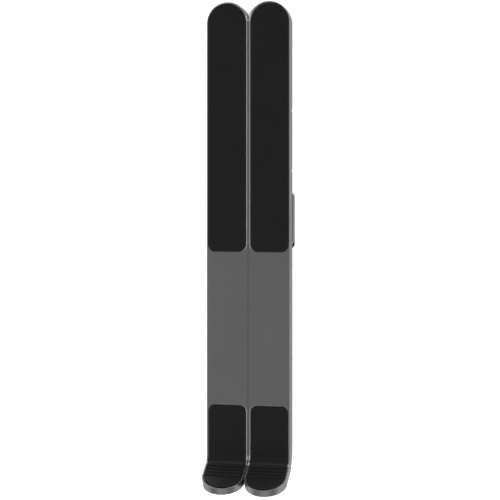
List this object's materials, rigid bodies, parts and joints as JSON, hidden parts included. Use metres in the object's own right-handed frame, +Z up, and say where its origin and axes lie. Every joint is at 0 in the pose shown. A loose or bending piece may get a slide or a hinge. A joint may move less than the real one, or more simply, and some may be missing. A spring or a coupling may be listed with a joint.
{
  "type": "laptop stand",
  "caption": "Folding laptop stand: two hooked arms with silicone pads lie side by side, spread on crossed bars and prop up on notched struts.",
  "frame": {"origin": "centre of the folded stand's box, on the table under its feet", "axes": "+X across the stand to the right arm, +Y along the arms from the hooks to the rear ends, +Z up from the table"},
  "size_m": [0.045, 0.2542, 0.0359],
  "materials": {
    "arm_aluminium": "fine bead-blasted, dark grey anodised, satin",
    "base_aluminium": "fine bead-blasted, dark grey anodised, satin",
    "pad_silicone": "matte black silicone",
    "foot_rubber": "matte black rubber",
    "steel": "satin steel",
    "dark_steel": "blackened steel",
    "nylon": "natural nylon"
  },
  "bodies": {
    "right_base": {"right_base_bar": "base_aluminium", "right_hinge_pin": "steel", "right_front_foot": "foot_rubber", "right_rear_foot": "foot_rubber", "right_side_foot": "base_aluminium", "right_side_foot_sole": "foot_rubber", "right_side_foot_front_screw": "dark_steel", "right_side_foot_rear_screw": "dark_steel", "right_front_rivet": "steel", "right_front_spacer": "nylon"},
    "right_arm": {"right_arm": "arm_aluminium", "right_rear_pad": "pad_silicone", "right_hook_pad": "pad_silicone", "right_strut_pin": "steel"},
    "right_strut": {"right_strut": "base_aluminium", "right_foot_rod": "steel"},
    "lower_crossbar": {"lower_crossbar": "base_aluminium", "centre_rivet": "steel", "centre_washer": "nylon", "left_slide_rivet": "steel", "left_slide_spacer": "nylon"},
    "upper_crossbar": {"upper_crossbar": "base_aluminium", "right_slide_rivet": "steel"},
    "left_base": {"left_base_bar": "base_aluminium", "left_hinge_pin": "steel", "left_front_foot": "foot_rubber", "left_rear_foot": "foot_rubber", "left_side_foot": "base_aluminium", "left_side_foot_sole": "foot_rubber", "left_side_foot_front_screw": "dark_steel", "left_side_foot_rear_screw": "dark_steel", "left_front_rivet": "steel"},
    "left_arm": {"left_arm": "arm_aluminium", "left_rear_pad": "pad_silicone", "left_hook_pad": "pad_silicone", "left_strut_pin": "steel"},
    "left_strut": {"left_strut": "base_aluminium", "left_foot_rod": "steel"}
  },
  "joints": [
    {"name": "spread", "type": "hinge", "parent": "right_base", "child": "lower_crossbar", "pos_m": [0.0111, -0.083, 0.0016], "axis": [0, 0, 1], "range_deg": [0, 46]},
    {"name": "crossbar_centre", "type": "hinge", "parent": "lower_crossbar", "child": "upper_crossbar", "pos_m": [0, 0.01034, 0.0029], "axis": [0, 0, -1], "range_deg": [0, 92]},
    {"name": "left_front_pivot", "type": "hinge", "parent": "upper_crossbar", "child": "left_base", "pos_m": [-0.0111, -0.083, 0.0042], "axis": [0, 0, 1], "range_deg": [0, 46]},
    {"name": "right_tilt", "type": "hinge", "parent": "right_base", "child": "right_arm", "pos_m": [0.0111, -0.1025, 0.0099], "axis": [1, 0, 0], "range_deg": [0, 32]},
    {"name": "right_strut_swing", "type": "hinge", "parent": "right_arm", "child": "right_strut", "pos_m": [0.0111, 0.0075, 0.0099], "axis": [-1, 0, 0], "range_deg": [0, 64]},
    {"name": "left_tilt", "type": "hinge", "parent": "left_base", "child": "left_arm", "pos_m": [-0.0111, -0.1025, 0.0099], "axis": [1, 0, 0], "range_deg": [0, 32]},
    {"name": "left_strut_swing", "type": "hinge", "parent": "left_arm", "child": "left_strut", "pos_m": [-0.0111, 0.0075, 0.0099], "axis": [-1, 0, 0], "range_deg": [0, 64]}
  ],
  "couplings": [
    {"joint": "crossbar_centre", "follows": "spread", "ratio": 2},
    {"joint": "left_front_pivot", "follows": "spread", "ratio": 1},
    {"joint": "right_strut_swing", "follows": "right_tilt", "ratio": 2},
    {"joint": "left_strut_swing", "follows": "left_tilt", "ratio": 2}
  ]
}
